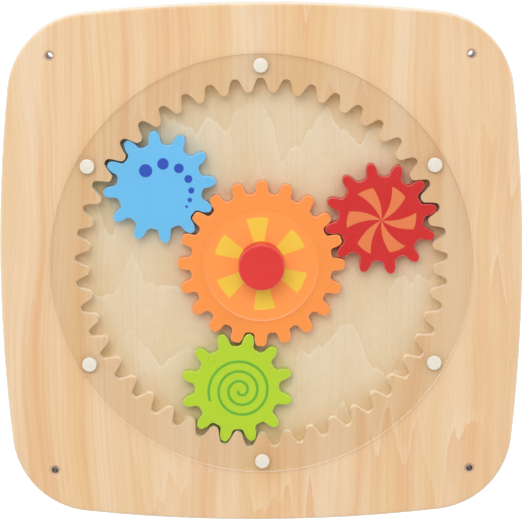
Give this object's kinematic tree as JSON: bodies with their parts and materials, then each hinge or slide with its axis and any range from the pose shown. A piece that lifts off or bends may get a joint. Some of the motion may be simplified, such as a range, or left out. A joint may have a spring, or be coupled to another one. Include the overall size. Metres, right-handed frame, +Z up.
{
  "type": "wall gear activity panel",
  "caption": "Square wooden wall panel whose central knob drives loose coloured planet gears around a toothed round window under a clear cover.",
  "frame": {"origin": "middle of the four wall-screw holes, on the back face against the wall", "axes": "+X to the right and +Z up as seen from the front; the front faces -Y, so +Y points into the wall"},
  "size_m": [0.4, 0.048, 0.4],
  "materials": {
    "board_wood": "clear matt lacquer over light hardwood face veneer",
    "floor_wood": "clear matt lacquer over pale plywood",
    "clear_acrylic": "polished clear acrylic sheet",
    "orange_paint": "satin orange lacquer with yellow printed rays",
    "red_paint": "satin red lacquer",
    "blue_paint": "satin blue lacquer with printed dots",
    "green_paint": "satin green lacquer with a printed spiral",
    "cap_plastic": "moulded off-white plastic",
    "zinc_steel": "zinc-plated steel",
    "white_nylon": "natural nylon",
    "dowel_wood": "bare beech dowel"
  },
  "bodies": {
    "board": {"rear_frame": "board_wood", "front_panel": "board_wood", "floor_panel": "floor_wood", "cover_disc": "clear_acrylic", "spindle_bolt": "zinc_steel", "rear_washer": "zinc_steel", "front_washer": "zinc_steel", "lock_nut": "zinc_steel", "spindle_sleeve": "zinc_steel", "thrust_washer": "white_nylon", "cover_cap_1": "cap_plastic", "cap_base_1": "cap_plastic", "cover_screw_1": "zinc_steel", "cover_cap_2": "cap_plastic", "cap_base_2": "cap_plastic", "cover_screw_2": "zinc_steel", "cover_cap_3": "cap_plastic", "cap_base_3": "cap_plastic", "cover_screw_3": "zinc_steel", "cover_cap_4": "cap_plastic", "cap_base_4": "cap_plastic", "cover_screw_4": "zinc_steel", "cover_cap_5": "cap_plastic", "cap_base_5": "cap_plastic", "cover_screw_5": "zinc_steel", "cover_cap_6": "cap_plastic", "cap_base_6": "cap_plastic", "cover_screw_6": "zinc_steel", "board_screw_1": "zinc_steel", "board_screw_2": "zinc_steel", "board_screw_3": "zinc_steel", "board_screw_4": "zinc_steel", "board_screw_5": "zinc_steel", "board_screw_6": "zinc_steel", "board_screw_7": "zinc_steel", "board_screw_8": "zinc_steel"},
    "drive": {"drive_gear": "orange_paint", "turning_knob": "red_paint", "knob_dowel_1": "dowel_wood", "knob_dowel_2": "dowel_wood"},
    "red_travel": {"red_slip_washer": "white_nylon"},
    "red_planet": {"red_gear": "red_paint"},
    "blue_travel": {"blue_slip_washer": "white_nylon"},
    "blue_planet": {"blue_gear": "blue_paint"},
    "green_travel": {"green_slip_washer": "white_nylon"},
    "green_planet": {"green_gear": "green_paint"}
  },
  "joints": [
    {"name": "knob_turn", "type": "hinge", "parent": "board", "child": "drive", "pos_m": [0, 0, 0], "axis": [0, -1, 0], "continuous": true},
    {"name": "red_travel", "type": "hinge", "parent": "board", "child": "red_travel", "pos_m": [0, 0, 0], "axis": [0, -1, 0], "continuous": true},
    {"name": "red_roll", "type": "hinge", "parent": "red_travel", "child": "red_planet", "pos_m": [0.09138, 0, 0.03428], "axis": [0, -1, 0], "continuous": true},
    {"name": "blue_travel", "type": "hinge", "parent": "board", "child": "blue_travel", "pos_m": [0, 0, 0], "axis": [0, -1, 0], "continuous": true},
    {"name": "blue_roll", "type": "hinge", "parent": "blue_travel", "child": "blue_planet", "pos_m": [-0.07741, 0, 0.0596], "axis": [0, -1, 0], "continuous": true},
    {"name": "green_travel", "type": "hinge", "parent": "board", "child": "green_travel", "pos_m": [0, 0, 0], "axis": [0, -1, 0], "continuous": true},
    {"name": "green_roll", "type": "hinge", "parent": "green_travel", "child": "green_planet", "pos_m": [-0.01922, 0, -0.0963], "axis": [0, -1, 0], "continuous": true}
  ],
  "couplings": [
    {"joint": "red_travel", "follows": "knob_turn", "ratio": 0.30769},
    {"joint": "red_roll", "follows": "knob_turn", "ratio": -1.1538},
    {"joint": "blue_travel", "follows": "knob_turn", "ratio": 0.30769},
    {"joint": "blue_roll", "follows": "knob_turn", "ratio": -1.1538},
    {"joint": "green_travel", "follows": "knob_turn", "ratio": 0.30769},
    {"joint": "green_roll", "follows": "knob_turn", "ratio": -1.1538}
  ]
}
